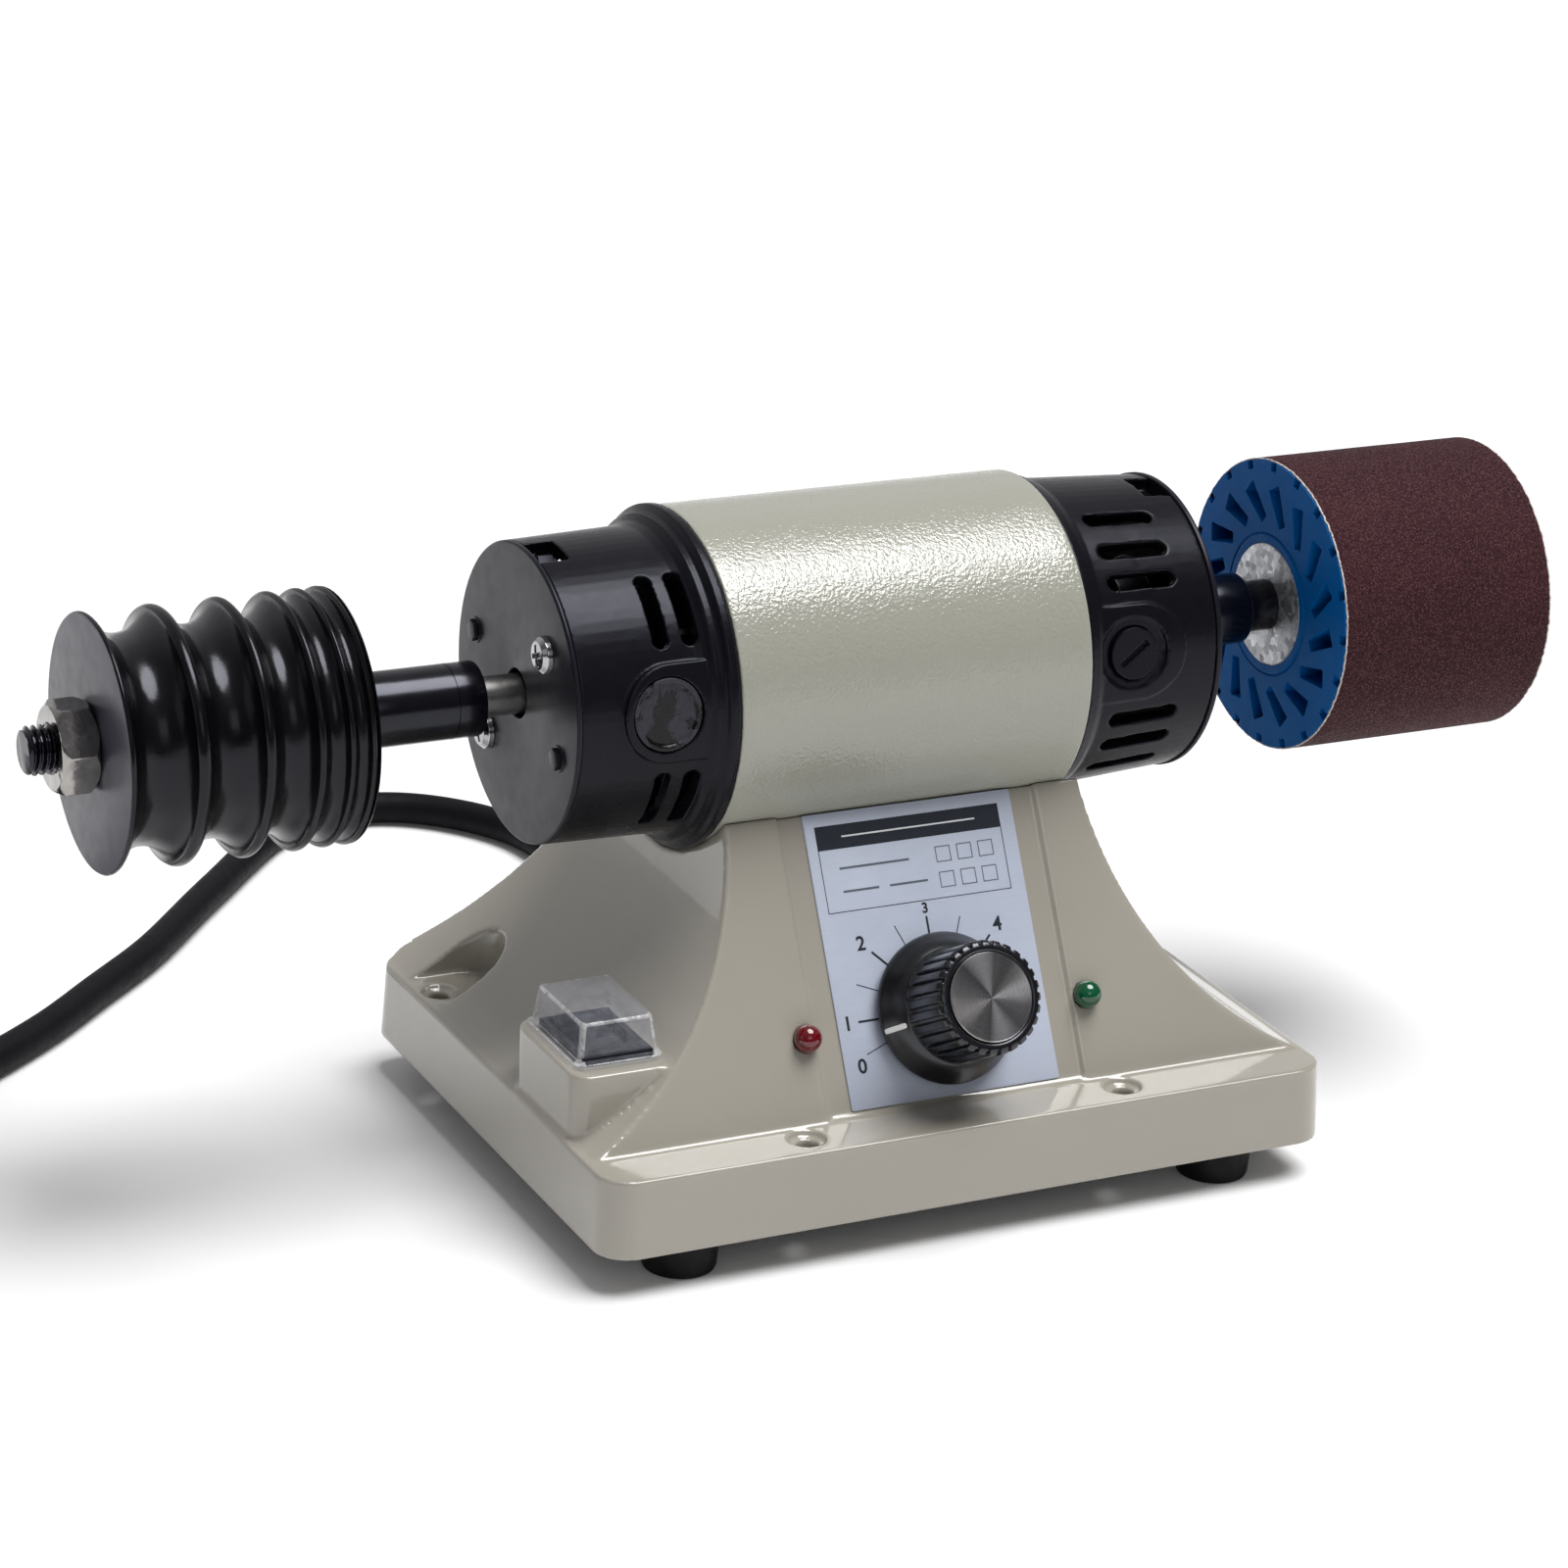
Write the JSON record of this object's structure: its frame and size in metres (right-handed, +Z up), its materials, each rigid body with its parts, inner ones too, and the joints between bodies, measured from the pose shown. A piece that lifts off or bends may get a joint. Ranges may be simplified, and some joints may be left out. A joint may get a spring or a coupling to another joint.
{
  "type": "bench edge burnisher with sanding drum",
  "caption": "Double-ended bench motor on a cast pedestal, driving a grooved edge-burnishing wheel on the left and a drum with an abrasive sleeve on the right, with a speed knob.",
  "frame": {"origin": "on the bench surface, at the middle of the machine's box without its mains cable", "axes": "+X along the shaft towards the sanding drum, +Y to the back, +Z up"},
  "size_m": [0.523, 0.3221, 0.168],
  "materials": {
    "base_enamel": "gloss",
    "tube_enamel": "wrinkle",
    "black_plastic": "satin",
    "black_metal": "satin",
    "black_lacquer": "gloss",
    "rubber": "matte",
    "cable_rubber": "matte",
    "steel": "satin",
    "chrome": "polished",
    "zinc_alloy": "spangled",
    "aluminium": "spun",
    "label_film": "satin",
    "pointer_white": "gloss",
    "red_lens": "gloss",
    "green_lens": "gloss",
    "clear_cover": "clear",
    "blue_plastic": "satin",
    "abrasive": "gritty",
    "copper": "satin",
    "brass": "satin",
    "carbon": "matte",
    "magnet": "matte",
    "laminations": "satin",
    "board_green": "satin",
    "capacitor_blue": "gloss"
  },
  "bodies": {
    "machine": {"base_casting": "base_enamel", "bottom_cover": "black_metal", "rubber_feet": "rubber", "foot_screws": "steel", "label_plate": "label_film", "potentiometer_body": "steel", "potentiometer_nut": "chrome", "red_indicator": "red_lens", "green_indicator": "green_lens", "rocker_switch_frame": "black_plastic", "switch_cover": "clear_cover", "motor_tube": "tube_enamel", "left_gasket": "rubber", "left_end_cap": "black_plastic", "right_end_cap": "black_plastic", "left_end_disk": "black_metal", "right_end_disk": "black_metal", "disk_screws_chrome": "chrome", "disk_screws_black": "black_metal", "brush_caps": "black_plastic", "knockout_plugs": "black_plastic", "brush_holders": "brass", "carbon_brushes": "carbon", "brush_springs": "steel", "field_magnets": "magnet", "left_bearing": "steel", "right_bearing": "steel", "control_board": "board_green", "heat_sink": "aluminium", "filter_capacitor": "capacitor_blue", "motor_saddle_bolts": "steel", "cable_strain_relief": "rubber", "mains_cable": "cable_rubber", "mains_cable_coil": "cable_rubber", "cable_tail": "cable_rubber", "cable_tie": "black_plastic", "mains_plug": "rubber", "plug_pins": "chrome"},
    "rotor": {"motor_shaft": "steel", "armature_core": "laminations", "armature_windings": "copper", "commutator": "copper", "cooling_fan": "black_plastic", "left_arbor": "black_metal", "right_arbor": "black_metal", "arbor_set_screws": "steel", "burnishing_wheel": "black_lacquer", "wheel_nut": "chrome", "drum_hub": "zinc_alloy", "drum_core": "blue_plastic", "sanding_sleeve": "abrasive", "drum_nut": "chrome"},
    "knob": {"speed_knob": "black_plastic", "knob_cap_disc": "aluminium", "knob_pointer": "pointer_white", "potentiometer_shaft": "steel"},
    "rocker": {"rocker_paddle": "black_lacquer"}
  },
  "joints": [
    {"name": "rotor_spin", "type": "hinge", "parent": "machine", "child": "rotor", "pos_m": [0, 0.0075, 0.1251], "axis": [1, 0, 0], "continuous": true},
    {"name": "speed_knob_turn", "type": "hinge", "parent": "machine", "child": "knob", "pos_m": [0.0158, -0.04997, 0.05071], "axis": [0, -0.8796, 0.4756], "range_deg": [-211, 9]},
    {"name": "switch_rock", "type": "hinge", "parent": "machine", "child": "rocker", "pos_m": [-0.0698, -0.031, 0.0455], "axis": [1, 0, 0], "range_deg": [-20, 0]}
  ]
}
